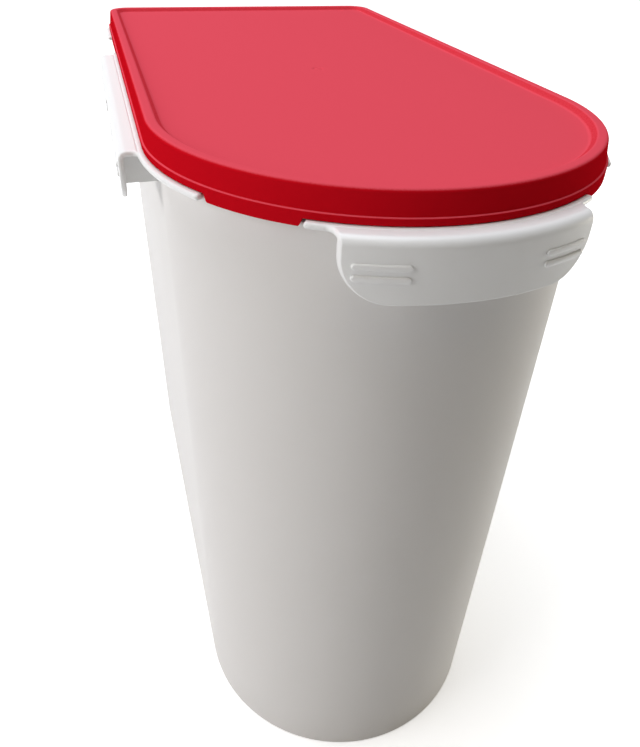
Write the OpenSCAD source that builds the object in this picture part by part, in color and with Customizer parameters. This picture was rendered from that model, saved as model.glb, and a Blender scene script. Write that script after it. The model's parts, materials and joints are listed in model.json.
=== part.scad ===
/* [Overall size] */
// Width over the lid's lower band
lid_w = 240; // [200:1:280]
// Length over the lid's lower band, from the front of the curve to the straight back
lid_l = 465; // [380:1:560]
// Height of the bin's rim above the surface it stands on
bin_h = 437; // [300:1:520]

/* [Bin] */
// Wall thickness of the bin
wall = 3; // [2:0.1:4]
// How far the bin's wall stands in from the lid's band, at the rim
rim_inset = 7.2; // [7:0.1:9]
// How far the wall leans in between the rim and the base
lean = 6.7; // [3:0.1:12]
// Thickness of the bin's floor
floor_t = 3; // [2:0.1:5]
// Height of the foot ring under the floor
foot_h = 2; // [1:0.1:4]
// Width of the foot ring
foot_w = 4; // [3.4:0.1:6]
// Radius of the edge between the wall and the base
base_edge_r = 2; // [1:0.1:3]
// Radius of the back corners inside the foot ring
foot_corner_r = 0.6; // [0.4:0.1:8]
// Height of the rolled lip at the top of the wall
lip_h = 3.6; // [3:0.1:4]
// How far the seat flange under the grips stands out of the wall
seat_out = 3.2; // [2:0.1:4]
// Thickness of the seat flange
seat_t = 1.4; // [1:0.1:2.5]
// How far the snap bead over the grips stands out of the wall
snap_out = 1.1; // [0.5:0.1:1.5]

/* [Lid] */
// Thickness of the lid's top
lid_t = 2.4; // [1.8:0.1:3.2]
// Depth of the flat panel below the lid's ridge
panel_drop = 3; // [2:0.1:4]
// Width of the ridge round the panel
ridge_w = 4.5; // [4.3:0.1:5.5]
// Width of the slope from the ridge down to the panel
cove_w = 4.1; // [3:0.1:5.5]
// Height of the skirt from the ridge to the ledge
skirt_h = 10.9; // [10:0.1:13]
// How far the skirt leans in between the ledge and the ridge
skirt_lean = 1.5; // [0.5:0.1:2]
// Width of the ledge where the band begins
ledge = 1; // [0.5:0.1:1.3]
// Radius of the ridge's outer edge
ridge_r = 2; // [1:0.1:2.2]
// Height of the lid's band where it is cut away over the grips
strip_h = 3.5; // [3:0.1:4.5]
// Height of the lid's band at its four tabs
band_h = 7.1; // [6.6:0.1:8]
// Thickness of the band
band_t = 2.2; // [1.8:0.1:2.4]
// Angle from the middle of the front to the near edge of a front tab
tab_a = 33.4; // [32:0.1:38]
// Angle from the middle of the front to the far edge of a front tab
tab_b = 56.7; // [46:0.1:62]
// Distance of the side tabs from the lid's straight back
side_tab_back = 55; // [45:1:70]
// Length of the side tabs
side_tab_l = 62; // [40:1:80]
// Depth of the ring that reaches into the bin
plug_h = 6.3; // [4:0.1:7]
// Thickness of that ring
plug_t = 2.2; // [1.6:0.1:3]

/* [Seal] */
// Height of the seal
seal_t = 4; // [3:0.1:4.5]
// Width of the channel that holds the seal
channel_w = 4.1; // [3.5:0.1:4.8]

/* [Grips] */
// Thickness of the grips' top plate and rim beads
rail_t = 3; // [2.4:0.1:3.4]
// How far the rim beads stand out of the lid's band
bead_out = 2.8; // [1.5:0.1:4]
// How far the grips stand out of the lid's band
grip_out = 12; // [10:0.5:18]
// Height of the grips over all
grip_h = 29; // [24:0.5:40]
// Thickness of the grips' hanging flange
flange_t = 2.8; // [2.2:0.1:3.4]
// Radius of the bend between top plate and flange
bend_r = 4.5; // [3.5:0.1:6]
// Width of the front grip
front_grip_w = 113.5; // [90:0.5:126]
// Length of the side grips
side_grip_l = 225.5; // [160:0.5:240]
// How far the side grips reach forward of the straight side
side_grip_ahead = 4.5; // [0:0.5:10]
// Radius of the flanges' lower corners
flange_corner_r = 20; // [8:0.5:20]
// Height of the webs that close the side grips' ends
web_h = 15; // [10:0.5:20]
// Thickness of the webs
web_t = 2.2; // [1.6:0.1:3]
// How far the webs stand back from the side grips' ends
web_set = 6; // [1:0.1:8]
// Depth of the rims that stiffen the front grip's ends, with the flange
end_rim_d = 4.5; // [3.6:0.1:6]
// Thickness of those rims
end_rim_t = 2; // [1.2:0.1:3]
// How far the finger ribs stand proud
rib_out = 1; // [0.5:0.1:1.5]
// Width of one finger rib
rib_w = 3; // [2:0.1:3.6]
// Distance between the two finger ribs of a pair
rib_pitch = 5.1; // [4.5:0.1:7]
// Depth of the upper finger rib below the top of the grip
rib_drop = 11.8; // [10:0.1:14]
// Length of a finger rib on the front grip
front_rib_l = 24; // [14:0.5:30]
// Length of a finger rib on a side grip
side_rib_l = 71; // [40:1:80]
// Distance of the finger ribs from the front grip's ends
front_rib_end = 4.3; // [3:0.1:10]
// Distance of the finger ribs from a side grip's ends
side_rib_end = 16; // [10:0.5:24]

/* [Hinge] */
// Diameter of the hinge pins
pin_d = 4; // [3:0.1:5]
// Diameter of the knuckles
knuckle_d = 9; // [8:0.1:10]
// Distance of the hinge axis behind the lid's back
hinge_back = 7; // [6.5:0.1:9]
// Distance of each hinge from the middle
hinge_x = 58; // [40:1:70]
// Width of a knuckle on the bin
bin_knuckle_w = 8; // [5:0.5:12]
// Width of the knuckle on the lid
lid_knuckle_w = 23; // [14:0.5:30]
// Thickness of the lid's hinge arms
arm_t = 7; // [5:0.1:7.5]
// How far the horns that stop the open lid stand out behind the bin's knuckles
horn_out = 2; // [1:0.1:3]
// Opening angle of the lid
open_angle = 105; // [95:1:115]
// Diameter of a pin's head
pin_head_d = 6.4; // [5.6:0.1:8]
// Thickness of a pin's head
pin_head_t = 1.2; // [0.8:0.1:2]

/* [Fits] */
// Gap between the seal and the rim
seal_gap = 0.3; // [0.2:0.05:0.6]
// Gap between the lid's band and the grips below it
lid_gap = 0.3; // [0.2:0.05:0.6]
// Gap between the lid's tabs and the ends of the beads beside them
tab_gap = 0.7; // [0.3:0.05:1]
// Gap between the lid's inner ring and the bin's wall
plug_gap = 0.8; // [0.6:0.05:1.2]
// Gap between the rolled lip and the lid's skirt
lip_gap = 0.6; // [0.4:0.05:1]
// Gap between the clipped-on grips and the bin's wall
clip_gap = 0.2; // [0.1:0.05:0.4]
// Gap on each side of the seal in its channel
seal_side_gap = 0.2; // [0.1:0.05:0.4]
// Radial clearance of the pins in the lid's knuckles
pin_clear = 0.05; // [0.02:0.01:0.1]
// Radial interference of the pins in the bin's knuckles
pin_press = 0.02; // [0.01:0.01:0.04]
// Gap between neighbouring knuckles
knuckle_gap = 0.4; // [0.2:0.05:0.8]
// Gap between the open lid and its stop
stop_gap = 0.35; // [0.2:0.05:0.8]

/* [Hidden] */
$fn = 96;

shell_white = "whitesmoke";
grip_white = "white";
lid_red = "crimson";
seal_grey = "gainsboro";
pin_steel = "silver";

// Overlap that fuses two solids of one piece
fuse = 0.5;

// Plan of the bin: half a circle in front, straight sides, a straight back with round corners.
// A distance x from the circle's centre stands for one offset line round the whole plan.
half_w = lid_w / 2;
straight_l = lid_l - half_w;
wall_x = half_w - rim_inset;
base_x = wall_x - lean;
foot_x = base_x - foot_w;
corner_x = foot_x - foot_corner_r;
corner_y = straight_l - (half_w - corner_x);

// Heights, from the rim upwards and then down the lid's skirt
roof_z = bin_h + seal_gap + seal_t;
lid_z = roof_z + lid_t;
panel_z = lid_z - panel_drop;
ledge_z = lid_z - skirt_h;
strip_z = ledge_z - strip_h;
tab_z = ledge_z - band_h;
rail_z = strip_z - lid_gap;
seat_z = rail_z - rail_t;
lip_z = bin_h - lip_h;
floor_z = foot_h + floor_t;

// Offsets of the lid's faces
band_x = half_w - band_t;
skirt_x = half_w - ledge;
ridge_x = skirt_x - skirt_lean;
hollow_x = ridge_x - band_t + ledge;
plug_x = wall_x - wall - plug_gap;
plug_in_x = plug_x - plug_t;
panel_x = plug_in_x - fuse;
cove_x = ridge_x - ridge_w - cove_w;
channel_x = hollow_x - channel_w;
lip_x = hollow_x - lip_gap;

// Offsets of the grips
rail_in_x = wall_x + clip_gap;
bead_x = half_w + bead_out;
grip_x = half_w + grip_out;
flange_z = rail_z - grip_h;
rib_z = rail_z - rib_drop;
side_grip_y = -side_grip_ahead;
tab_y = straight_l - side_tab_back - side_tab_l;
back_bead_y = straight_l - side_tab_back + tab_gap;
tab_gap_a = tab_gap / half_w * 180 / PI;
bead_a = tab_a - tab_gap_a;
bead_b = tab_b + tab_gap_a;

// Hinge axis
hinge_y = straight_l + hinge_back;
hinge_z = rail_z + knuckle_d / 2 + stop_gap;
knuckle_step = lid_knuckle_w / 2 + knuckle_gap;
hinge_half = knuckle_step + bin_knuckle_w;
horn_y = knuckle_d / 2 + horn_out;
skirt_reach = hinge_back + ledge + skirt_lean / 2 - stop_gap;
horn_z = (skirt_reach + horn_y * cos(open_angle)) / sin(open_angle);

// The finished bin stands with the middle of its whole length over the origin
reach_front = grip_x;
reach_back = hinge_y + horn_y;
shift_y = (reach_front - reach_back) / 2;

// Offset of the wall's outer face at a height
function wall_at(z) = base_x + lean * z / bin_h;

// Points of an arc, from angle a to angle b
function arc(x, z, r, a, b, n = 6) =
    [for (i = [0 : n]) [x + r * cos(a + (b - a) * i / n), z + r * sin(a + (b - a) * i / n)]];

// Moves a piece from the plan's own centre to the finished frame
module place() {
    translate([0, shift_y, 0]) children();
}

// A section carried along the front curve, between two angles from the middle of the front
module along_front(a, b) {
    rotate([0, 0, 270 + a]) rotate_extrude(angle = b - a) children();
}

// A section carried along the right side
module along_side(y0, y1) {
    translate([0, y1, 0]) rotate([90, 0, 0]) linear_extrude(y1 - y0) children();
}

// A section carried round the right back corner
module round_corner() {
    translate([corner_x, corner_y, 0]) rotate_extrude(angle = 90) translate([-corner_x, 0]) children();
}

// A section carried along the back, between two distances from the middle
module along_back(x0, x1) {
    translate([0, corner_y - corner_x, 0]) rotate([0, 0, 90]) along_side(x0, x1) children();
}

// The same on both sides
module both_sides() {
    children();
    mirror([1, 0, 0]) children();
}

// A section carried round the whole plan
module all_round() {
    along_front(-90, 90) children();
    both_sides() {
        along_side(0, corner_y) children();
        round_corner() children();
    }
    along_back(-corner_x, corner_x) children();
}

// The plan's outline at one offset
module plan(x) {
    circle(r = x);
    translate([-x, 0]) square([2 * x, corner_y]);
    translate([-corner_x, 0]) square([2 * corner_x, corner_y + x - corner_x]);
    translate([corner_x, corner_y]) circle(r = x - corner_x);
    translate([-corner_x, corner_y]) circle(r = x - corner_x);
}

// Section of the bin's wall: foot, leaning wall, seat flange, snap bead and rolled lip
module wall_section() {
    polygon(concat(
        [[foot_x, 0]],
        arc(base_x - base_edge_r, base_edge_r, base_edge_r, -90, 0),
        [[wall_at(seat_z - seat_t), seat_z - seat_t - seat_out / 3],
         [wall_x + seat_out, seat_z - seat_t],
         [wall_x + seat_out, seat_z],
         [wall_x, seat_z],
         [wall_x, rail_z + clip_gap],
         [wall_x + snap_out, rail_z + clip_gap + snap_out / 2],
         [wall_x, rail_z + clip_gap + 2 * snap_out],
         [wall_x, lip_z - (lip_x - wall_x) / 3],
         [lip_x, lip_z + lip_h / 4],
         [lip_x, bin_h - lip_h / 6],
         [lip_x - lip_h / 6, bin_h],
         [wall_x - wall + lip_h / 6, bin_h],
         [wall_x - wall, bin_h - lip_h / 6],
         [wall_at(floor_z) - wall, floor_z],
         [foot_x, floor_z]]));
}

// The tub: one moulding of wall, floor and foot ring
module bin_body() {
    color(shell_white) place() {
        all_round() wall_section();
        translate([0, 0, foot_h]) linear_extrude(floor_t) plan(foot_x + fuse);
    }
}

// Section of the rim bead: a flat strip on the seat flange with a round nose
module bead_section() {
    nose = rail_t / 2;
    polygon(concat(
        [[rail_in_x, seat_z]],
        arc(bead_x - nose, seat_z + nose, nose, -90, 90),
        [[rail_in_x, rail_z]]));
}

// Section of a grip: top plate, bend and hanging flange with a round tip
module grip_section() {
    tip = flange_t / 2;
    polygon(concat(
        [[rail_in_x, rail_z]],
        arc(grip_x - bend_r, rail_z - bend_r, bend_r, 90, 0),
        arc(grip_x - tip, flange_z + tip, tip, 0, -180),
        arc(grip_x - bend_r, rail_z - bend_r, bend_r - flange_t, 0, 90),
        [[rail_in_x, seat_z]]));
}

// Section of one finger rib
module rib_section(z) {
    round_off = rib_out / 2;
    polygon([[grip_x - fuse, z - rib_w / 2], [grip_x + round_off, z - rib_w / 2],
             [grip_x + rib_out, z - rib_w / 2 + round_off], [grip_x + rib_out, z + rib_w / 2 - round_off],
             [grip_x + round_off, z + rib_w / 2], [grip_x - fuse, z + rib_w / 2]]);
}

// Outline of a grip seen from its front, w wide: straight top, round lower corners
module grip_outline(w) {
    r = flange_corner_r;
    translate([-w / 2, flange_z + r]) square([w, grip_h]);
    translate([-w / 2 + r, flange_z]) square([w - 2 * r, grip_h]);
    translate([-w / 2 + r, flange_z + r]) circle(r = r);
    translate([w / 2 - r, flange_z + r]) circle(r = r);
}

// Section of a web, from the bin's wall out into the flange
module web_section() {
    past_seat = rail_in_x + seat_out;
    polygon([[rail_in_x, seat_z - web_h], [grip_x - flange_t / 2, seat_z - web_h],
             [grip_x - flange_t / 2, seat_z + fuse], [past_seat, seat_z + fuse],
             [past_seat, seat_z - seat_t - seat_out / 3], [rail_in_x, seat_z - seat_t - seat_out]]);
}

// Section of the rim behind each end of the front grip's flange
module end_rim_section() {
    low_z = flange_z + flange_corner_r / 4;
    polygon([[grip_x - flange_t / 2, low_z], [grip_x - end_rim_d, low_z + flange_corner_r / 4],
             [grip_x - end_rim_d, seat_z + fuse], [grip_x - flange_t / 2, seat_z + fuse]]);
}

// Front grip: a rim bead clipped over the front curve, with the grip moulded on it
module front_grip() {
    rib_end_a = asin((front_grip_w / 2 - front_rib_end) / grip_x);
    rib_start_a = rib_end_a - front_rib_l / grip_x * 180 / PI;
    color(grip_white) place() {
        along_front(-bead_a, bead_a) bead_section();
        intersection() {
            along_front(-bead_a, bead_a) grip_section();
            rotate([90, 0, 0]) linear_extrude(2 * grip_x) grip_outline(front_grip_w);
        }
        both_sides() {
            intersection() {
                along_front(0, bead_a) end_rim_section();
                rotate([90, 0, 0]) linear_extrude(2 * grip_x) difference() {
                    grip_outline(front_grip_w);
                    translate([-end_rim_t, -fuse]) grip_outline(front_grip_w);
                }
            }
            for (i = [0, 1]) {
                along_front(rib_start_a, rib_end_a) rib_section(rib_z - i * rib_pitch);
            }
        }
    }
}

// Right-hand side grip: its bead also runs round the curve as far as the front tab
module side_grip() {
    grip_end = side_grip_y + side_grip_l;
    middle = side_grip_y + side_grip_l / 2;
    along_front(bead_b, 90) bead_section();
    along_side(0, tab_y - tab_gap) bead_section();
    intersection() {
        along_side(side_grip_y, grip_end) grip_section();
        translate([0, middle, 0]) rotate([90, 0, 90]) linear_extrude(2 * grip_x) grip_outline(side_grip_l);
    }
    for (y = [side_grip_y + web_set, grip_end - web_set - web_t]) {
        along_side(y, y + web_t) web_section();
    }
    for (y = [side_grip_y + side_rib_end, grip_end - side_rib_end - side_rib_l]) {
        for (i = [0, 1]) {
            along_side(y, y + side_rib_l) rib_section(rib_z - i * rib_pitch);
        }
    }
}

module right_grip() {
    color(grip_white) place() side_grip();
}

module left_grip() {
    color(grip_white) place() mirror([1, 0, 0]) side_grip();
}

// A cylinder along X at the hinge axis
module on_axis(d, x0, x1) {
    translate([x0, hinge_y, hinge_z]) rotate([0, 90, 0]) cylinder(d = d, h = x1 - x0);
}

// One knuckle of the bin: a barrel on a block, with a horn behind that stops the open lid
module bin_knuckle(x0) {
    horn_y0 = pin_d / 2 + knuckle_gap;
    on_axis(knuckle_d, x0, x0 + bin_knuckle_w);
    translate([x0, hinge_y - knuckle_d / 2, seat_z])
        cube([bin_knuckle_w, knuckle_d / 2 + horn_y, hinge_z - seat_z]);
    translate([x0, hinge_y + horn_y0, seat_z])
        cube([bin_knuckle_w, horn_y - horn_y0, hinge_z + horn_z - seat_z]);
}

// Hinge rail: the rim bead round the back of the bin, with two brackets that carry the hinges
module hinge_rail() {
    color(grip_white) place() {
        both_sides() {
            along_side(back_bead_y, corner_y) bead_section();
            round_corner() bead_section();
        }
        along_back(-corner_x, corner_x) bead_section();
        both_sides() {
            difference() {
                union() {
                    translate([hinge_x - hinge_half, straight_l, seat_z])
                        cube([2 * hinge_half, hinge_back + horn_y, rail_t]);
                    for (x = [hinge_x - hinge_half, hinge_x + knuckle_step]) {
                        bin_knuckle(x);
                    }
                }
                on_axis(pin_d - 2 * pin_press, hinge_x - 2 * hinge_half, hinge_x + 2 * hinge_half);
            }
        }
    }
}

// Hinge pin with a flat head at its outer end
module hinge_pin() {
    on_axis(pin_d, hinge_x - hinge_half, hinge_x + hinge_half);
    on_axis(pin_head_d, hinge_x + hinge_half, hinge_x + hinge_half + pin_head_t);
}

module hinge_pin_right() {
    color(pin_steel) place() hinge_pin();
}

module hinge_pin_left() {
    color(pin_steel) place() mirror([1, 0, 0]) hinge_pin();
}

// Section of the lid's rim: hollow, ridge, skirt, ledge and band outside, seal channel and plug
// ring inside
module lid_section() {
    polygon(concat(
        [[panel_x - fuse, panel_z],
         [cove_x, panel_z],
         [cove_x + cove_w / 3, panel_z + panel_drop / 4],
         [cove_x + 2 * cove_w / 3, lid_z - panel_drop / 6],
         [cove_x + cove_w, lid_z]],
        arc(ridge_x - ridge_r, lid_z - ridge_r, ridge_r, 90, 0),
        [[skirt_x, ledge_z],
         [half_w, ledge_z - ledge / 3],
         [half_w, tab_z],
         [band_x, tab_z],
         [band_x, ledge_z - ledge],
         [hollow_x, ledge_z + ledge],
         [hollow_x, roof_z],
         [channel_x, roof_z],
         [channel_x, panel_z - lid_t],
         [plug_x, panel_z - lid_t],
         [plug_x, panel_z - lid_t - plug_h],
         [plug_in_x, panel_z - lid_t - plug_h],
         [plug_in_x, panel_z - lid_t],
         [panel_x - fuse, panel_z - lid_t]]));
}

// Plan of the stretches where the band keeps its full height: two tabs in front, one on each side
module tab_plan() {
    reach = 2 * half_w;
    both_sides() {
        polygon([[0, 0], [reach * sin(tab_a), -reach * cos(tab_a)], [reach * sin(tab_b), -reach * cos(tab_b)]]);
        translate([0, tab_y]) square([reach, side_tab_l]);
    }
}

// Notches that leave only a strip of the band over the grips and the hinge rail
module notches() {
    translate([0, 0, tab_z - fuse]) linear_extrude(strip_z - tab_z + fuse) difference() {
        plan(half_w + fuse);
        plan(band_x - fuse);
        tab_plan();
    }
}

// Arm and barrel of one lid hinge
module lid_knuckle() {
    x0 = hinge_x - lid_knuckle_w / 2;
    on_axis(knuckle_d, x0, x0 + lid_knuckle_w);
    translate([x0, straight_l - band_t / 2 - ledge - skirt_lean, hinge_z - arm_t / 2])
        cube([lid_knuckle_w, hinge_back + band_t / 2 + ledge + skirt_lean, arm_t]);
}

// Lid: one moulding of panel, rim, four tabs and two hinge arms
module lid() {
    color(lid_red) place() {
        translate([0, 0, panel_z - lid_t]) linear_extrude(lid_t) plan(panel_x);
        difference() {
            all_round() lid_section();
            notches();
        }
        both_sides() {
            difference() {
                lid_knuckle();
                on_axis(pin_d + 2 * pin_clear, hinge_x - hinge_half, hinge_x + hinge_half);
            }
        }
    }
}

// Seal in the channel under the ridge
module lid_seal() {
    w = channel_w - 2 * seal_side_gap;
    color(seal_grey) place() {
        all_round() translate([channel_x + seal_side_gap, roof_z - seal_t]) square([w, seal_t]);
    }
}

bin_body();
front_grip();
left_grip();
right_grip();
hinge_rail();
hinge_pin_left();
hinge_pin_right();
lid();
lid_seal();
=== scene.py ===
import json

import bmesh
import bpy
import numpy as np
from mathutils import Matrix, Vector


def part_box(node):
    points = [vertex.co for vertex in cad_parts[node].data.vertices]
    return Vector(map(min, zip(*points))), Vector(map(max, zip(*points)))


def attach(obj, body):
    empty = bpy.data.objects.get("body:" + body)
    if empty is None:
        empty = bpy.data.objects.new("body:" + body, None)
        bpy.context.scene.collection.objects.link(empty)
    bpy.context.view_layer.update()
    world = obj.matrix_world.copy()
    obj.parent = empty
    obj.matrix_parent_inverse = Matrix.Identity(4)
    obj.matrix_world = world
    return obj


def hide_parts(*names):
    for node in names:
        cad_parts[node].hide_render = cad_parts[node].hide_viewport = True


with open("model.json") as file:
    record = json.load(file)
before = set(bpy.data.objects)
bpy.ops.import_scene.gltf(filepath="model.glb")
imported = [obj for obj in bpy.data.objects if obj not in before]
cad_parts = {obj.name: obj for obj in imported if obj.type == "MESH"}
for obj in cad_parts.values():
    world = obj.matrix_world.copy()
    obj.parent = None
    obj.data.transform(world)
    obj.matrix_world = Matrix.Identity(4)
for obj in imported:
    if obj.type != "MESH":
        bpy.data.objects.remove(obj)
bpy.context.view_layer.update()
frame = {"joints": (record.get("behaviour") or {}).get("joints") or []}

# The tub: one white polypropylene moulding, drawn upwards off its core. Its walls lean in to a
# small rounded base with a foot ring, and end at the top in a seat flange for the grips, a snap
# bead that holds them down, and a rolled lip that the lid's seal closes on.

lid_low, lid_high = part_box("lid")
tub_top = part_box("bin_body")[1].z
grip_low, grip_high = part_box("front_grip")
rail_top = grip_high.z
half_w = lid_high.x
front_y = lid_low.y
centre_y = front_y + half_w

rim_inset = 0.0072
lean = 0.0067
wall = 0.003
foot_h = 0.002
foot_w = 0.004
foot_corner_r = 0.0006
floor_z = 0.005
base_edge_r = 0.002
rail_t = 0.003
seat_out = 0.0032
seat_t = 0.0014
snap_out = 0.0011
snap_z = rail_top + 0.0002
lip_h = 0.0036
lip_x = half_w - 0.0043

wall_x = half_w - rim_inset
base_x = wall_x - lean
foot_x = base_x - foot_w
corner_x = foot_x - foot_corner_r
corner_r = half_w - corner_x
seal_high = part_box("lid_seal")[1]
straight_l = seal_high.y - centre_y + half_w - seal_high.x
corner_y = straight_l - corner_r
seat_z = rail_top - rail_t

front_s = half_w * np.pi / 2
side_s = front_s + corner_y
corner_s = side_s + corner_r * np.pi / 2
back_s = corner_s + corner_x


def plan_at(s):
    """Centre and outward normal of the plan at arc length s along the lid's edge, counted from
    the middle of the front, positive to the right. The plan is half a circle, straight sides,
    round back corners and a straight back, and a point at any offset is centre + offset * normal."""
    d = np.abs(s)
    turn = np.clip((d - side_s) / corner_r, 0, np.pi / 2)
    angle = np.clip(d / half_w, 0, np.pi / 2) - np.pi / 2 + turn
    x = corner_x * (1 - np.cos(turn)) - np.clip(d - corner_s, 0, None)
    y = centre_y + np.clip(d - front_s, 0, corner_y) - corner_x * np.sin(turn)
    side = np.where(s < 0, -1.0, 1.0)
    centre = np.stack([side * x, y], -1)
    normal = np.stack([side * np.cos(angle), np.sin(angle)], -1)
    return centre, normal


def carried(section, s):
    """A section of (offset, height) points carried along the plan to the arc lengths s."""
    centre, normal = plan_at(s)
    section = np.broadcast_to(section, (len(s),) + section.shape[-2:])
    flat = centre[:, None] + section[..., :1] * normal[:, None]
    return np.concatenate([flat, section[..., 1:]], -1)


def whole_plan(extra=()):
    """Arc lengths round the whole plan, close together on the curves, with extra ones for cuts."""
    half = np.concatenate([
        np.linspace(0, front_s, 73),
        np.linspace(front_s, side_s, 34),
        np.linspace(side_s, corner_s, 19),
        np.linspace(corner_s, back_s, 12),
        np.asarray(extra, float).ravel()])
    half = np.unique(np.round(half, 7))
    return np.concatenate([half, -half[-2:0:-1]])


def rounded(corners, steps=6, closed=False):
    """Outline through corners (x, z, radius). Each corner turns on an arc that touches both of
    its sides: its centre lies on the bisector, radius / sin(half the angle) from the corner."""
    corners = np.array(corners, float)
    count = len(corners)
    outline = []
    for i, (x, z, radius) in enumerate(corners):
        here = np.array([x, z])
        if radius == 0 or (not closed and i in (0, count - 1)):
            outline.append(here)
            continue
        back = corners[i - 1, :2] - here
        ahead = corners[(i + 1) % count, :2] - here
        back = back / np.linalg.norm(back)
        ahead = ahead / np.linalg.norm(ahead)
        half = np.arccos(np.clip(back @ ahead, -1, 1)) / 2
        bisector = (back + ahead) / np.linalg.norm(back + ahead)
        middle = here + bisector * radius / np.sin(half)
        start = here + back * radius / np.tan(half) - middle
        end = here + ahead * radius / np.tan(half) - middle
        first = np.arctan2(start[1], start[0])
        sweep = np.arctan2(start[0] * end[1] - start[1] * end[0], start @ end)
        turns = first + sweep * np.linspace(0, 1, steps + 1)
        outline.extend(middle + radius * np.stack([np.cos(turns), np.sin(turns)], -1))
    return np.array(outline)


def filled(outline, longest):
    """The outline with extra points, so that no straight stretch is longer than longest."""
    parts = [outline[:1]]
    for a, b in zip(outline[:-1], outline[1:]):
        count = max(1, int(np.ceil(np.linalg.norm(b - a) / longest)))
        parts.append(a + (b - a) * (np.arange(1, count + 1) / count)[:, None])
    return np.concatenate(parts)


def towards(rings, middle, shares):
    """Rings that shrink from a ring of points towards a middle point: middle + share * spoke."""
    return middle + (rings[:, None] - middle) * np.asarray(shares)[None, :, None]


def grid_faces(rows, columns, close_rows, close_columns):
    """Quads of a grid of points, row by row, joined to the first row or column where it closes."""
    i = np.arange(rows if close_rows else rows - 1)[:, None]
    j = np.arange(columns if close_columns else columns - 1)[None, :]
    a = i * columns + j
    b = i * columns + (j + 1) % columns
    c = (i + 1) % rows * columns + (j + 1) % columns
    d = (i + 1) % rows * columns + j
    return np.stack([a, b, c, d], -1).reshape(-1, 4)


def make_piece(name, shells, body, node, material):
    """One object from shells of (points, close_rows, close_columns): doubled points on seams and
    poles are merged, faces turned outwards, and shading normals weighted by face area."""
    points, faces, count = [], [], 0
    for grid, close_rows, close_columns in shells:
        rows, columns = grid.shape[:2]
        points.append(grid.reshape(-1, 3))
        faces.append(grid_faces(rows, columns, close_rows, close_columns) + count)
        count += rows * columns
    mesh = bpy.data.meshes.new(name)
    mesh.from_pydata(np.concatenate(points).tolist(), [], np.concatenate(faces).tolist())
    shape = bmesh.new()
    shape.from_mesh(mesh)
    bmesh.ops.remove_doubles(shape, verts=shape.verts, dist=1e-6)
    bmesh.ops.dissolve_degenerate(shape, edges=shape.edges, dist=1e-7)
    bmesh.ops.recalc_face_normals(shape, faces=shape.faces)
    shape.to_mesh(mesh)
    shape.free()
    mesh.shade_smooth()
    mesh.materials.append(material)
    piece = bpy.data.objects.new(name, mesh)
    bpy.context.scene.collection.objects.link(piece)
    weighted = piece.modifiers.new("even shading", "WEIGHTED_NORMAL")
    weighted.keep_sharp = True
    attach(piece, body)
    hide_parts(node)


class Wire:
    """A value in a material's nodes. Operators on wires and numbers add Math nodes."""

    def __init__(self, tree, socket):
        self.tree = tree
        self.socket = socket

    def math(self, operation, *values):
        return add_node(self.tree, "ShaderNodeMath", {"operation": operation}, dict(enumerate(values)))

    def __add__(self, other):
        return self.math("ADD", self, other)

    def __mul__(self, other):
        return self.math("MULTIPLY", self, other)


def add_node(tree, kind, settings, inputs, output=0):
    """Adds a node: its settings first, then its sockets, each to a value or to another wire."""
    node = tree.nodes.new(kind)
    for key, value in settings.items():
        setattr(node, key, value)
    for key, value in inputs.items():
        if isinstance(value, Wire):
            tree.links.new(value.socket, node.inputs[key])
        else:
            node.inputs[key].default_value = value
    return Wire(tree, node.outputs[output]) if node.outputs else None


def moulded_plastic(name, colour, tint, roughness, grain, grain_depth, gloss=0.5, painted_sheen_colour=None):
    """Moulded plastic: its colour drifts a little to a tint over a hand's width, as pigment does,
    its gloss varies with handling, and a fine spark-eroded grain breaks up its highlights. Given a
    painted sheen colour, faces that point up in the object's own frame get that paler colour: a
    painted sheen that stands in for light from above, not a colour of the plastic."""
    material = bpy.data.materials.new(name)
    material.use_nodes = True
    tree = material.node_tree
    tree.nodes.clear()
    place = add_node(tree, "ShaderNodeTexCoord", {}, {}, "Object")
    drift = add_node(tree, "ShaderNodeTexNoise", {}, {"Vector": place, "Scale": 9.0, "Detail": 3.0})
    smudge = add_node(tree, "ShaderNodeTexNoise", {}, {"Vector": place, "Scale": 34.0, "Detail": 5.0})
    fine = add_node(tree, "ShaderNodeTexNoise", {}, {"Vector": place, "Scale": grain, "Detail": 2.0})
    speck = add_node(tree, "ShaderNodeTexVoronoi", {}, {"Vector": place, "Scale": grain * 0.7})
    colours = add_node(tree, "ShaderNodeMix", {"data_type": "RGBA"}, {
        "Factor": drift * 0.8 + fine * 0.2, 6: (*colour, 1), 7: (*tint, 1)}, 2)
    height = fine * 0.7 + speck * 0.3
    bump = add_node(tree, "ShaderNodeBump", {}, {
        "Height": height, "Distance": grain_depth, "Strength": 0.6})
    # Painted sheen: faces that point up get a paler colour, which stands in for light from above on the
    # grain.
    if painted_sheen_colour:
        facing = add_node(tree, "ShaderNodeSeparateXYZ", {}, {
            0: add_node(tree, "ShaderNodeTexCoord", {}, {}, "Normal")}, "Z")
        painted_sheen_share = add_node(tree, "ShaderNodeMapRange", {"interpolation_type": "SMOOTHSTEP"}, {
            "Value": facing + fine * 0.2, "From Min": 0.6, "From Max": 1.05})
        colours = add_node(tree, "ShaderNodeMix", {"data_type": "RGBA"}, {
            "Factor": painted_sheen_share, 6: colours, 7: (*painted_sheen_colour, 1)}, 2)
    plastic = add_node(tree, "ShaderNodeBsdfPrincipled", {}, {
        "Base Color": colours, "Normal": bump,
        "Roughness": smudge * 0.08 + (roughness - 0.04), "Specular IOR Level": gloss})
    add_node(tree, "ShaderNodeOutputMaterial", {}, {"Surface": plastic})
    return material


tub_white = moulded_plastic("tub_white", (0.80, 0.78, 0.765), (0.77, 0.75, 0.73),
                            roughness=0.44, grain=900.0, grain_depth=0.00004, gloss=0.04)


def wall_at(z):
    """Offset of the leaning wall's outer face at a height."""
    return base_x + lean * z / tub_top


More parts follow.
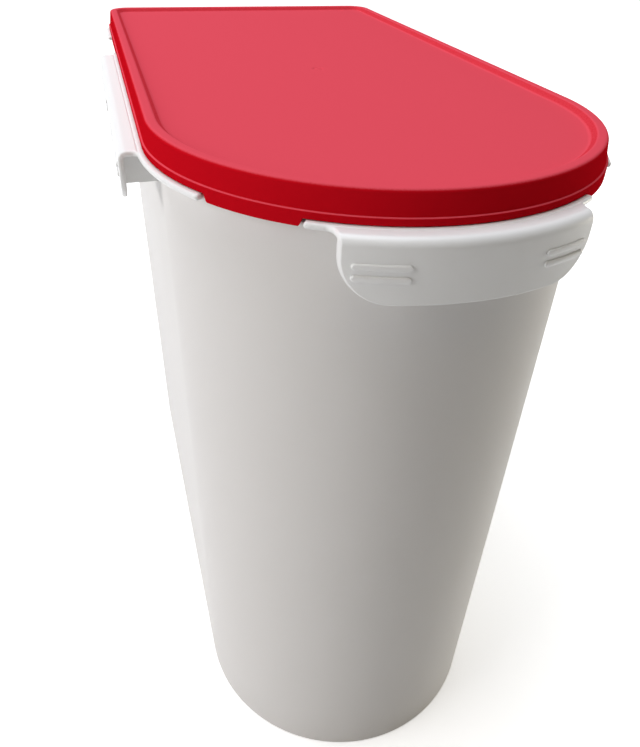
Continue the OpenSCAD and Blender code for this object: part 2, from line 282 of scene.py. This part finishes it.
wall_outline = filled(rounded([
    (foot_x, foot_h, 0),
    (foot_x, 0, 0.0004),
    (base_x, 0, base_edge_r),
    (wall_at(seat_z - seat_t), seat_z - seat_t - seat_out / 3, 0.001),
    (wall_x + seat_out, seat_z - seat_t, 0.0004),
    (wall_x + seat_out, seat_z, 0.0003),
    (wall_x, seat_z, 0.0003),
    (wall_x, snap_z, 0.0002),
    (wall_x + snap_out, snap_z + snap_out / 2, 0.0004),
    (wall_x, snap_z + 2 * snap_out, 0.0006),
    (wall_x, tub_top - lip_h - 0.001, 0.0008),
    (lip_x, tub_top - lip_h + 0.0009, 0.0008),
    (lip_x, tub_top, 0.0012),
    (wall_x - wall, tub_top, 0.0012),
    (wall_at(floor_z) - wall, floor_z, 0.004),
    (corner_x - 0.002, floor_z, 0)]), 0.02)
floor_middle_y = centre_y + 0.1
tub_wall = carried(wall_outline, whole_plan())
floor_shares = np.linspace(0.92, 0, 8)
underside = towards(tub_wall[:, 0], np.array([0, floor_middle_y, foot_h]), floor_shares[::-1])
inside = towards(tub_wall[:, -1], np.array([0, floor_middle_y, floor_z]), floor_shares)
make_piece("tub", [(np.concatenate([underside, tub_wall, inside], 1), True, False)],
           "bin", "bin_body", tub_white)

# The front grip: a cool white moulding that clips over the rim. Its flat bead runs under the
# lid's edge as far as the front tabs, and its hood for the fingers hangs down in front, with a
# rim behind each end and four finger ribs. The face between the ribs is plain.

grip_white = moulded_plastic("grip_white", (0.85, 0.85, 0.85), (0.82, 0.82, 0.81),
                             roughness=0.34, grain=1100.0, grain_depth=0.00002)
bead_x = half_w + 0.0028
rail_in_x = wall_x + 0.0002
grip_x = half_w + 0.012
flange_z = grip_low.z
flange_t = 0.0028
bend_r = 0.0045
flange_corner_r = 0.02
grip_edge = 0.0009
bead_fillet = 0.0022
front_grip_w = 0.1135
end_rim_d = 0.0045
end_rim_t = 0.002
rib_out = 0.001
rib_w = 0.003
rib_pitch = 0.0051
rib_z = rail_top - 0.0118
tab_from = half_w * np.radians(33.4)
tab_to = half_w * np.radians(56.7)
tab_gap = 0.0007
bead_thinner = 0.00001
bead_step = 0.002


def bead(s):
    """The rim bead along the arc lengths s: a flat strip with a round nose. Near both ends the
    nose's half circle shrinks on a quarter circle, so that the bead ends like a capsule. It is a
    hundredth of a millimetre thinner than the hood's plate, so that no two faces coincide."""
    nose = rail_t / 2
    half_t = nose - bead_thinner
    edge = np.minimum(np.abs(s - s[0]), np.abs(s[-1] - s))
    share = np.sqrt(1 - (1 - np.clip(edge / nose, 0, 1)) ** 2)[:, None]
    turns = np.linspace(-np.pi / 2, np.pi / 2, 13)
    nose_x = bead_x - nose + nose * np.cos(turns) * share
    inner = np.full((len(s), 1), rail_in_x)
    x = np.concatenate([inner, nose_x, inner], 1)
    z = seat_z + nose + half_t * np.concatenate([[-1], np.sin(turns), [1]]) * share
    return carried(np.stack([x, z], -1), s), False, True


def bead_run(s_from, s_to):
    """Arc lengths of a bead: close together on the quarter circles at its ends, else even."""
    nose = rail_t / 2
    depth = nose * (1 - np.cos(np.linspace(0, np.pi / 2, 9)))
    length = abs(s_to - s_from)
    middle = np.linspace(nose, length - nose, max(3, int(length / bead_step)))[1:-1]
    along = np.concatenate([depth, middle, length - depth[::-1]])
    return s_from + np.sign(s_to - s_from) * along


def hood(width, rim_d, place):
    """A grip's hood: top plate, bend and hanging flange as one sheet. Rows run down the sheet and
    columns across it. The sheet starts inside the bead, flares into its nose on a fillet, and its
    edge is rounded by a thickness that falls off as an ellipse before the outline. Towards its
    two ends the flange thickens inwards to a rim rim_d deep."""
    half = width / 2
    nose = rail_t / 2
    root = 0.0005
    sunk_share = 0.96
    flat_end = grip_x - bend_r - 0.0008
    bend = bend_r - flange_t / 2
    turns = np.linspace(np.pi / 2, 0, 9)
    plate_x = np.concatenate([bead_x - nose + np.array([-3 * nose, -2 * nose, 0, nose / 3, 2 * nose / 3]),
                              bead_x + bead_fillet * (1 - np.cos(np.linspace(0, np.pi / 2, 9))),
                              [flat_end]])
    drop = np.linspace(rail_top - bend_r, flange_z + flange_corner_r, 6)[1:]
    lower = flange_z + flange_corner_r - flange_corner_r * np.sin(np.linspace(0, np.pi / 2, 31))[1:]
    hang = np.full(len(drop) + len(lower), grip_x - flange_t / 2)
    x = np.concatenate([plate_x, grip_x - bend_r + bend * np.cos(turns), hang])
    z = np.concatenate([np.full(len(plate_x), rail_top - nose),
                        rail_top - bend_r + bend * np.sin(turns), drop, lower])
    lean_x = np.concatenate([0 * plate_x, np.cos(turns), np.ones(len(hang))])[:, None]
    lean_z = np.concatenate([1 + 0 * plate_x, np.sin(turns), np.zeros(len(hang))])[:, None]
    flare = np.clip((bead_x + bead_fillet - x) / bead_fillet, 0, 1)
    below = np.clip((flange_z + flange_corner_r - z) / flange_corner_r, 0, 1)
    reach = half + bead_fillet * (1 - np.sqrt(1 - flare ** 2)) + root * (x < bead_x)
    reach = reach - flange_corner_r * (1 - np.sqrt(1 - below ** 2))
    inset = end_rim_t * (1 - np.cos(np.linspace(0, np.pi / 2, 13)))
    middle = (reach - end_rim_t)[:, None] * np.linspace(-1, 1, 49)[1:-1]
    across = np.concatenate([inset - reach[:, None], middle, (reach[:, None] - inset)[:, ::-1]], 1)
    size = np.abs(across)
    corner = np.stack([size - half + flange_corner_r,
                       np.broadcast_to((flange_z + flange_corner_r - z)[:, None], size.shape)], -1)
    round_edge = flange_corner_r - np.linalg.norm(np.clip(corner, 0, None), axis=-1)
    flange_edge = np.where(corner.min(-1) > 0, round_edge, flange_corner_r - corner.max(-1))
    fillet_out = np.stack([half + bead_fillet - size,
                           np.broadcast_to((bead_x + bead_fillet - x)[:, None], size.shape)], -1)
    fillet_edge = np.linalg.norm(fillet_out, axis=-1) - bead_fillet
    plate_edge = np.where(fillet_out.min(-1) > 0, fillet_edge, half - size)
    plate_edge = np.where((x < bead_x)[:, None], bead_x - x[:, None], plate_edge)
    edge = np.where(lean_x > 0.99, flange_edge, plate_edge)
    edge_r = nose + (grip_edge - nose) * lean_x
    full = nose * lean_z + flange_t / 2 * (1 - lean_z)
    rim = (rim_d - flange_t) * np.clip((end_rim_t * 1.5 - edge) / end_rim_t, 0, 1)
    rim = rim * np.clip(2 * lean_x - 1, 0, 1)
    share = np.sqrt(1 - (1 - np.clip(edge / edge_r, 0, 1)) ** 2)
    sunk = np.clip((half + bead_fillet + root - size) / root, 0, 1)
    sunk = sunk * np.interp(x, bead_x - nose * np.array([4, 3, 1]), [0, sunk_share, 1])[:, None]
    share = np.where((x < bead_x)[:, None], share * sunk, share)
    outer = -rim / 2 + (full + rim / 2) * share
    inner = -rim / 2 - (full + rim / 2) * share
    top = place(x[:, None] + outer * lean_x, across, z[:, None] + outer * lean_z)
    under = place(x[:, None] + inner * lean_x, across, z[:, None] + inner * lean_z)
    return np.concatenate([top, under[::-1]]), True, False


def finger_rib(start, end, z, place):
    """A finger rib: a bar with round ends, half sunk in the flange. Its section is a superellipse,
    whose cosine and sine are raised to a power. Its half height follows a half circle over the
    last half width at each end."""
    half = rib_w / 2
    power = 0.8
    ends = half * (1 - np.cos(np.linspace(0, np.pi / 2, 9)))
    middle = np.linspace(start + half, end - half, 12)[1:-1]
    along = np.concatenate([start + ends, middle, end - ends[::-1]])
    edge = np.minimum(along - start, end - along)
    high = half * np.sqrt(1 - (1 - np.clip(edge / half, 0, 1)) ** 2)
    turns = np.linspace(0, 2 * np.pi, 33)[:-1]
    out = np.sign(np.cos(turns)) * np.abs(np.cos(turns)) ** power
    up = np.sign(np.sin(turns)) * np.abs(np.sin(turns)) ** power
    x = grip_x + rib_out * np.where(out > 0, out, 0.5 * out)
    return place(np.broadcast_to(x, (len(along), len(turns))), along[:, None],
                 z + high[:, None] * up[None, :]), False, True


def block(outline, start, end, edge, place):
    """An outline carried straight from start to end, its rims rounded: near each end it shrinks
    towards its middle as a quarter circle of the edge's radius, and then closes to a point."""
    middle = outline.mean(0)
    size = np.abs(outline - middle).mean()
    turns = np.linspace(0, np.pi / 2, 5)
    shrink = 1 - edge / size * (1 - np.sin(turns))
    along = np.concatenate([[start], start + edge * (1 - np.cos(turns)),
                            end - edge * (1 - np.cos(turns[::-1])), [end]])
    share = np.concatenate([[0], shrink, shrink[::-1], [0]])
    points = middle + (outline - middle)[None] * share[:, None, None]
    return place(points[..., 0], along[:, None], points[..., 1]), False, True


def on_front(x, across, z):
    """Front grip: offset x from the axis of the front curve, across parallel to the X axis."""
    x, across, z = np.broadcast_arrays(x, across, z)
    return np.stack([across, centre_y - np.sqrt(x ** 2 - across ** 2), z], -1)


front_rib_from = 0.0297
front_rib_to = 0.0525
bead_end = tab_from - tab_gap
front_shells = [hood(front_grip_w, end_rim_d, on_front), bead(bead_run(-bead_end, bead_end))]
for side in (-1, 1):
    for row in (0, 1):
        rib = sorted([side * front_rib_from, side * front_rib_to])
        front_shells.append(finger_rib(*rib, rib_z - row * rib_pitch, on_front))
make_piece("front_hood", front_shells, "bin", "front_grip", grip_white)

# The side grips: the same moulding stretched along each straight side, with a web set back in
# each end. The bead also runs forward round the curve to the front tab, and back to the side tab.

side_grip_l = 0.2255
side_grip_from = -0.0045
side_grip_middle = side_grip_from + side_grip_l / 2
side_tab_l = 0.062
side_tab_back = 0.055
side_tab = front_s + (straight_l - side_tab_back - side_tab_l)
side_rib_l = 0.071
side_rib_end = 0.016
web_h = 0.015
web_t = 0.0022
web_set = 0.006


def web_outline():
    """A web's outline, from the tub's wall out into the flange, under the seat flange."""
    under_seat = seat_z - seat_t - seat_out / 3
    return filled(rounded([
        (rail_in_x, seat_z - web_h, 0.0003),
        (grip_x - flange_t / 2, seat_z - web_h, 0.0003),
        (grip_x - flange_t / 2, seat_z + 0.001, 0.0003),
        (rail_in_x + seat_out, seat_z + 0.001, 0.0003),
        (rail_in_x + seat_out, under_seat, 0.0003),
        (rail_in_x, under_seat - 0.002, 0.0003)], closed=True), 0.002)


for side, node in ((-1, "left_grip"), (1, "right_grip")):
    def on_side(x, across, z, side=side):
        """Side grip: offset x from the middle plane, across along the straight side."""
        x, across, z = np.broadcast_arrays(x, across, z)
        return np.stack([side * x, centre_y + side_grip_middle + across, z], -1)

    half_l = side_grip_l / 2
    run = bead_run(side * (tab_to + tab_gap), side * (side_tab - tab_gap))
    side_shells = [hood(side_grip_l, flange_t, on_side), bead(run)]
    for end in (-1, 1):
        web = sorted([end * (half_l - web_set), end * (half_l - web_set - web_t)])
        side_shells.append(block(web_outline(), *web, 0.0003, on_side))
        for row in (0, 1):
            rib = sorted([end * (half_l - side_rib_end), end * (half_l - side_rib_end - side_rib_l)])
            side_shells.append(finger_rib(*rib, rib_z - row * rib_pitch, on_side))
    make_piece("left_hood" if side < 0 else "right_hood", side_shells, "bin", node, grip_white)

# The hinge rail: the same bead round the back corners and the straight back, with a bracket on
# each side that carries two knuckles. A horn behind each knuckle stops the open lid.

hinge_place = np.array(frame["joints"][0]["pos_m"])
hinge_x = 0.058
knuckle_r = 0.0045
bin_knuckle_w = 0.008
lid_knuckle_w = 0.023
knuckle_gap = 0.0004
horn_out = 0.002
horn_in = 0.002
horn_y = knuckle_r + horn_out
horn_y0 = horn_in + knuckle_gap
horn_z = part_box("hinge_rail")[1].z - hinge_place[2]
back_y = centre_y + straight_l
rail_from = front_s + straight_l - side_tab_back + tab_gap


def across_hinge(y, across, z):
    """A hinge part: y and z from the hinge axis, across along it."""
    y, across, z = np.broadcast_arrays(y, across, z)
    return np.stack([across, hinge_place[1] + y, hinge_place[2] + z], -1)


seat_below = seat_z - hinge_place[2]
knuckle_outline = filled(rounded([
    (-knuckle_r, seat_below, 0.0003),
    (horn_y, seat_below, 0.0006),
    (horn_y, horn_z, 0.0008),
    (horn_y0, horn_z, 0.0008),
    (horn_y0, knuckle_r - 0.0006, 0.0004),
    (0, knuckle_r * 1.02, 0.001),
    (-knuckle_r, knuckle_r, 0.0038)], closed=True), 0.003)
bracket_outline = filled(rounded([
    (back_y - hinge_place[1], seat_below, 0.0003),
    (horn_y, seat_below, 0.0006),
    (horn_y, seat_below + rail_t, 0.0006),
    (back_y - hinge_place[1], seat_below + rail_t, 0.0003)], closed=True), 0.003)
knuckle_step = lid_knuckle_w / 2 + knuckle_gap
bracket_half = knuckle_step + bin_knuckle_w
nose_run = rail_t / 2 * (1 - np.cos(np.linspace(0, np.pi / 2, 9)))
half_run = whole_plan()
half_run = half_run[(half_run > rail_from + rail_t / 2) & (half_run <= back_s)]
half_run = np.concatenate([rail_from + nose_run, half_run])
rail_run = np.concatenate([half_run, -half_run[-2::-1]])
rail_shells = [bead(rail_run)]
for side in (-1, 1):
    ends = sorted([side * hinge_x - bracket_half, side * hinge_x + bracket_half])
    rail_shells.append(block(bracket_outline, *ends, 0.0005, across_hinge))
    for x in (side * hinge_x - bracket_half, side * hinge_x + knuckle_step):
        rail_shells.append(block(knuckle_outline, x, x + bin_knuckle_w, 0.0004, across_hinge))
make_piece("rear_rail", rail_shells, "bin", "hinge_rail", grip_white)

# The hinge pins: drawn steel, pressed into the rail's knuckles from outside, with a flat head.
# They are turned profiles about the hinge axis.


def drawn_steel():
    """Steel pin: fine rings round the axis from drawing, seen in its gloss and in a light bump."""
    material = bpy.data.materials.new("drawn_steel")
    material.use_nodes = True
    tree = material.node_tree
    tree.nodes.clear()
    place = add_node(tree, "ShaderNodeTexCoord", {}, {}, "Object")
    lines = add_node(tree, "ShaderNodeMapping", {}, {"Vector": place, "Scale": (900.0, 60.0, 60.0)})
    rings = add_node(tree, "ShaderNodeTexNoise", {}, {"Vector": lines, "Scale": 4.0, "Detail": 3.0})
    colours = add_node(tree, "ShaderNodeMix", {"data_type": "RGBA"}, {
        "Factor": rings, 6: (0.50, 0.50, 0.52, 1), 7: (0.68, 0.68, 0.69, 1)}, 2)
    bump = add_node(tree, "ShaderNodeBump", {}, {"Height": rings, "Distance": 0.00002, "Strength": 0.4})
    steel = add_node(tree, "ShaderNodeBsdfPrincipled", {}, {
        "Base Color": colours, "Metallic": 1.0, "Roughness": rings * 0.2 + 0.24, "Normal": bump})
    add_node(tree, "ShaderNodeOutputMaterial", {}, {"Surface": steel})
    return material


steel_pin = drawn_steel()
pin_r = 0.002
pin_head_r = 0.0032
pin_head_t = 0.0012
pin_edge = 0.0003
for side, node in ((-1, "hinge_pin_left"), (1, "hinge_pin_right")):
    outline = rounded([
        (-bracket_half, 0, 0),
        (-bracket_half, pin_r, pin_edge),
        (bracket_half, pin_r, 0.0001),
        (bracket_half, pin_head_r, pin_edge),
        (bracket_half + pin_head_t, pin_head_r, pin_edge),
        (bracket_half + pin_head_t, 0, 0)], steps=4)
    turns = np.linspace(0, 2 * np.pi, 41)[:-1, None]
    along = side * (hinge_x + outline[None, :, 0])
    turned = across_hinge(outline[None, :, 1] * np.cos(turns), along, outline[None, :, 1] * np.sin(turns))
    make_piece("pin_left" if side < 0 else "pin_right", [(turned, True, False)], "bin", node,
               steel_pin)

# The lid: one red moulding with a fine matt grain. A raised ridge surrounds a sunken panel with
# the small round mark of the moulding gate, the skirt drops to a ledge and a band, the band keeps
# its full height only at four tabs, and two arms behind it reach to the hinge.

# The paler colour on the lid's upward faces is a painted sheen of the light from above, baked into its
# colour.
lid_red = moulded_plastic("lid_red", (0.58, 0.004, 0.012), (0.55, 0.004, 0.010), roughness=0.38,
                          grain=1300.0, grain_depth=0.00009, gloss=0.0, painted_sheen_colour=(0.77, 0.080, 0.112))
lid_top = lid_high.z
lid_t = 0.0024
panel_z = lid_top - 0.003
ledge_z = lid_top - 0.0109
strip_z = ledge_z - 0.0035
tab_z = ledge_z - 0.0071
skirt_x = half_w - 0.001
ridge_x = skirt_x - 0.0015
band_t = 0.0022
band_x = half_w - band_t
hollow_x = ridge_x - 0.0012
plug_x = wall_x - wall - 0.0008
plug_in_x = plug_x - 0.0022
plug_z = panel_z - lid_t - 0.0063
roof_z = lid_top - lid_t
channel_w = 0.0041
ridge_w = 0.0045
cove_w = 0.0041
channel_x = hollow_x - channel_w
cove_to = ridge_x - ridge_w
cove_from = cove_to - cove_w


def lid_section(bottom):
    """The lid's rim from the panel's edge over the ridge, skirt, ledge and band, and back inside
    over the hollow, the seal channel and the plug ring to the panel's underside."""
    return rounded([
        (plug_in_x - 0.003, panel_z, 0),
        (cove_from + 0.0004, panel_z, 0.0026),
        (cove_to - 0.0006, lid_top, 0.0018),
        (ridge_x, lid_top, 0.002),
        (skirt_x, ledge_z, 0.0003),
        (half_w, ledge_z - 0.0003, 0.0004),
        (half_w, bottom, 0.0004),
        (band_x, bottom, 0.0004),
        (band_x, ledge_z - 0.001, 0.0004),
        (hollow_x, ledge_z + 0.001, 0.0004),
        (hollow_x, roof_z, 0.0004),
        (channel_x, roof_z, 0.0004),
        (channel_x, panel_z - lid_t, 0.0003),
        (plug_x, panel_z - lid_t, 0.0003),
        (plug_x, plug_z, 0.0005),
        (plug_in_x, plug_z, 0.0005),
        (plug_in_x, panel_z - lid_t, 0.0006),
        (plug_in_x - 0.003, panel_z - lid_t, 0)])


def tab_share(s):
    """1 over a tab and 0 between tabs, with an S-shaped cut cut_w long at each of its ends."""
    cut_w = 0.0022
    d = np.abs(s)
    share = np.zeros_like(d)
    for a, b in ((tab_from, tab_to), (side_tab, side_tab + side_tab_l)):
        rise = np.clip((d - a) / cut_w, 0, 1)
        fall = np.clip((b - d) / cut_w, 0, 1)
        ramp = np.minimum(rise, fall)
        share = np.maximum(share, ramp * ramp * (3 - 2 * ramp))
    return share


cuts = [edge + shift for edge in (tab_from, tab_to, side_tab, side_tab + side_tab_l)
        for shift in np.linspace(-0.0025, 0.0025, 21)]
lid_run = whole_plan(cuts)
share = tab_share(lid_run)[:, None, None]
rim = carried((1 - share) * lid_section(strip_z) + share * lid_section(tab_z), lid_run)
gate_x = 0.0007
gate_back = 0.102
gate_r = 0.0026
gate_ring_w = 0.0006
gate_depth = 0.0005
gate = np.array([gate_x, centre_y + gate_back, panel_z])
gate_radii = np.array([0.0, 0.0008, 0.0016, 0.0022, 0.0026, 0.0030, 0.0034, 0.0040, 0.0060])
gate_dip = gate_depth * np.exp(-((gate_radii - gate_r) / gate_ring_w) ** 2)
spokes = rim[:, 0] - gate
reach = np.linalg.norm(spokes, axis=-1, keepdims=True)
near = gate + spokes[:, None] / reach[:, None] * gate_radii[None, :, None]
near[..., 2] -= gate_dip
far = towards(rim[:, 0], gate, np.linspace(0.1, 0.97, 14))
under = towards(rim[:, -1], gate - [0, 0, lid_t], np.linspace(0.96, 0, 10))
arm_from = -0.0095
arm_half_t = 0.0035
arm_neck = -0.0042
arm_shoulder = -0.0030
arm_outline = filled(rounded([
    (arm_from, -arm_half_t, 0.0005),
    (arm_neck, -arm_half_t, 0.0006),
    (arm_shoulder, -knuckle_r, 0.0012),
    (knuckle_r, -knuckle_r, 0.0044),
    (knuckle_r, knuckle_r, 0.0044),
    (arm_shoulder, knuckle_r, 0.0012),
    (arm_neck, arm_half_t, 0.0006),
    (arm_from, arm_half_t, 0.0005)], closed=True), 0.002)
lid_shells = [(np.concatenate([near, far, rim, under], 1), True, False)]
for side in (-1, 1):
    x = side * hinge_x - lid_knuckle_w / 2
    lid_shells.append(block(arm_outline, x, x + lid_knuckle_w, 0.0005, across_hinge))
make_piece("flip_lid", lid_shells, "lid", "lid", lid_red)

# The seal: a soft pale silicone ring, moulded to the lid's outline and pressed into the channel
# under its ridge. It closes on the bin's rolled lip.

seal_pale = moulded_plastic("seal_pale", (0.72, 0.72, 0.70), (0.66, 0.66, 0.64),
                            roughness=0.6, grain=700.0, grain_depth=0.00003)
seal_t = 0.004
seal_side_gap = 0.0002
seal_outline = rounded([
    (channel_x + seal_side_gap, roof_z, 0.0004),
    (hollow_x - seal_side_gap, roof_z, 0.0004),
    (hollow_x - seal_side_gap, roof_z - seal_t, 0.0012),
    (channel_x + seal_side_gap, roof_z - seal_t, 0.0012)], closed=True)
make_piece("seal", [(carried(seal_outline, whole_plan()), True, True)], "lid", "lid_seal", seal_pale)

# The floor: a plain pale sheet under the bin.


def pale_floor():
    """Even pale paint, mottled a little. What is seen of it directly or in a gloss is white apart
    from the bin's shadow: a glow that grows with the distance from the bin makes up for the lamps'
    fall-off. The light that it throws back on the bin is that of plain paint."""
    material = bpy.data.materials.new("pale_floor")
    material.use_nodes = True
    tree = material.node_tree
    tree.nodes.clear()
    place = add_node(tree, "ShaderNodeTexCoord", {}, {}, "Object")
    cloud = add_node(tree, "ShaderNodeTexNoise", {}, {"Vector": place, "Scale": 3.0})
    away = add_node(tree, "ShaderNodeVectorMath", {"operation": "LENGTH"}, {0: place}, "Value")
    glow = add_node(tree, "ShaderNodeMapRange", {"interpolation_type": "SMOOTHSTEP"}, {
        "Value": away, "From Min": 0.15, "From Max": 1.2, "To Min": 0.45, "To Max": 1.0})
    paint = add_node(tree, "ShaderNodeBsdfPrincipled", {}, {
        "Base Color": (0.94, 0.94, 0.94, 1), "Roughness": cloud * 0.1 + 0.7, "Specular IOR Level": 0.1,
        "Emission Color": glow, "Emission Strength": 1.0})
    thrown_back = add_node(tree, "ShaderNodeBsdfDiffuse", {}, {"Color": (0.88, 0.87, 0.85, 1)})
    surface = add_node(tree, "ShaderNodeMixShader", {}, {0: seen_ray(tree), 1: thrown_back, 2: paint})
    add_node(tree, "ShaderNodeOutputMaterial", {}, {"Surface": surface})
    return material


def seen_ray(tree):
    """1 for what the camera, a gloss or clear glass sees directly, 0 for bounced light."""
    rays = [add_node(tree, "ShaderNodeLightPath", {}, {}, name)
            for name in ("Is Camera Ray", "Is Glossy Ray", "Is Transmission Ray")]
    return rays[0].math("MINIMUM", rays[0] + rays[1] + rays[2], 1.0)


floor_half = 12.0
floor_mesh = bpy.data.meshes.new("floor")
floor_mesh.from_pydata([(-floor_half, -floor_half, 0), (floor_half, -floor_half, 0),
                        (floor_half, floor_half, 0), (-floor_half, floor_half, 0)], [], [(0, 1, 2, 3)])
floor_mesh.materials.append(pale_floor())
floor = bpy.data.objects.new("floor", floor_mesh)
bpy.context.scene.collection.objects.link(floor)

# Soft studio light: a large key on the left, a cool lamp above and a little behind, weak warm
# ones above the front and low on the right, and a faint even surround.


def soft_light(name, place, aim, size, power, colour=(1, 1, 1)):
    """A square area lamp at place, turned towards aim."""
    lamp = bpy.data.lights.new(name, "AREA")
    lamp.shape = "SQUARE"
    lamp.size = size
    lamp.energy = power
    lamp.color = colour
    holder = bpy.data.objects.new(name, lamp)
    bpy.context.scene.collection.objects.link(holder)
    holder.location = place
    direction = np.array(aim) - np.array(place)
    back = -direction / np.linalg.norm(direction)
    side = np.cross([0, 0, 1], back)
    side /= np.linalg.norm(side)
    up = np.cross(back, side)
    holder.matrix_world = Matrix([[side[0], up[0], back[0], place[0]],
                                  [side[1], up[1], back[1], place[1]],
                                  [side[2], up[2], back[2], place[2]],
                                  [0, 0, 0, 1]])


bin_middle = (0, 0, tub_top / 2)
soft_light("key", (-2.38, -0.4, 1.3), bin_middle, 1.6, 35.5, (1.0, 0.985, 0.985))
soft_light("top", (-0.25, 0.45, 2.6), bin_middle, 2.0, 50, (0.87, 0.92, 1.0))
soft_light("front", (-0.2, -1.0, 2.5), bin_middle, 1.6, 5, (1.0, 0.78, 0.45))
soft_light("right", (1.9, 0.0, 0.25), bin_middle, 1.0, 17, (1.0, 0.95, 0.82))

world = bpy.data.worlds.new("pale_surround")
bpy.context.scene.world = world
world.use_nodes = True
sky = world.node_tree
sky.nodes.clear()
white = add_node(sky, "ShaderNodeBackground", {}, {"Color": (1, 1, 1, 1), "Strength": 1.0})
room = add_node(sky, "ShaderNodeBackground", {}, {"Color": (1, 1, 1, 1), "Strength": 0.02})
surround = add_node(sky, "ShaderNodeMixShader", {}, {0: seen_ray(sky), 1: room, 2: white})
add_node(sky, "ShaderNodeOutputWorld", {}, {"Surface": surround})

# The camera stands in front of the curve, a little to its left and above the lid. Its place,
# turn and lens come from a fit of the bin's outline.

focal_px = 682.855
image_w, image_h = 640, 747
principal_x, principal_y = 318.851, 346.768
sensor = 36.0
yaw, pitch, roll = 0.316, 0.595, -0.040
camera_place = np.array([-0.136182, centre_y - 0.341566, 0.538699])
forward = np.array([np.sin(yaw) * np.cos(pitch), np.cos(yaw) * np.cos(pitch), -np.sin(pitch)])
level = np.array([np.cos(yaw), -np.sin(yaw), 0])
down = np.cross(forward, level)
right = np.cos(roll) * level + np.sin(roll) * down
up = np.sin(roll) * level - np.cos(roll) * down
camera_data = bpy.data.cameras.new("camera")
camera_data.sensor_width = sensor
camera_data.lens = focal_px * sensor / image_h
camera_data.shift_x = (image_w / 2 - principal_x) / image_h
camera_data.shift_y = (principal_y - image_h / 2) / image_h
camera_data.clip_start = 0.01
camera = bpy.data.objects.new("camera", camera_data)
bpy.context.scene.collection.objects.link(camera)
camera_rows = [[right[i], up[i], -forward[i], camera_place[i]] for i in range(3)]
camera.matrix_world = Matrix(camera_rows + [[0, 0, 0, 1]])
bpy.context.scene.camera = camera
bpy.context.scene.view_settings.view_transform = "Standard"
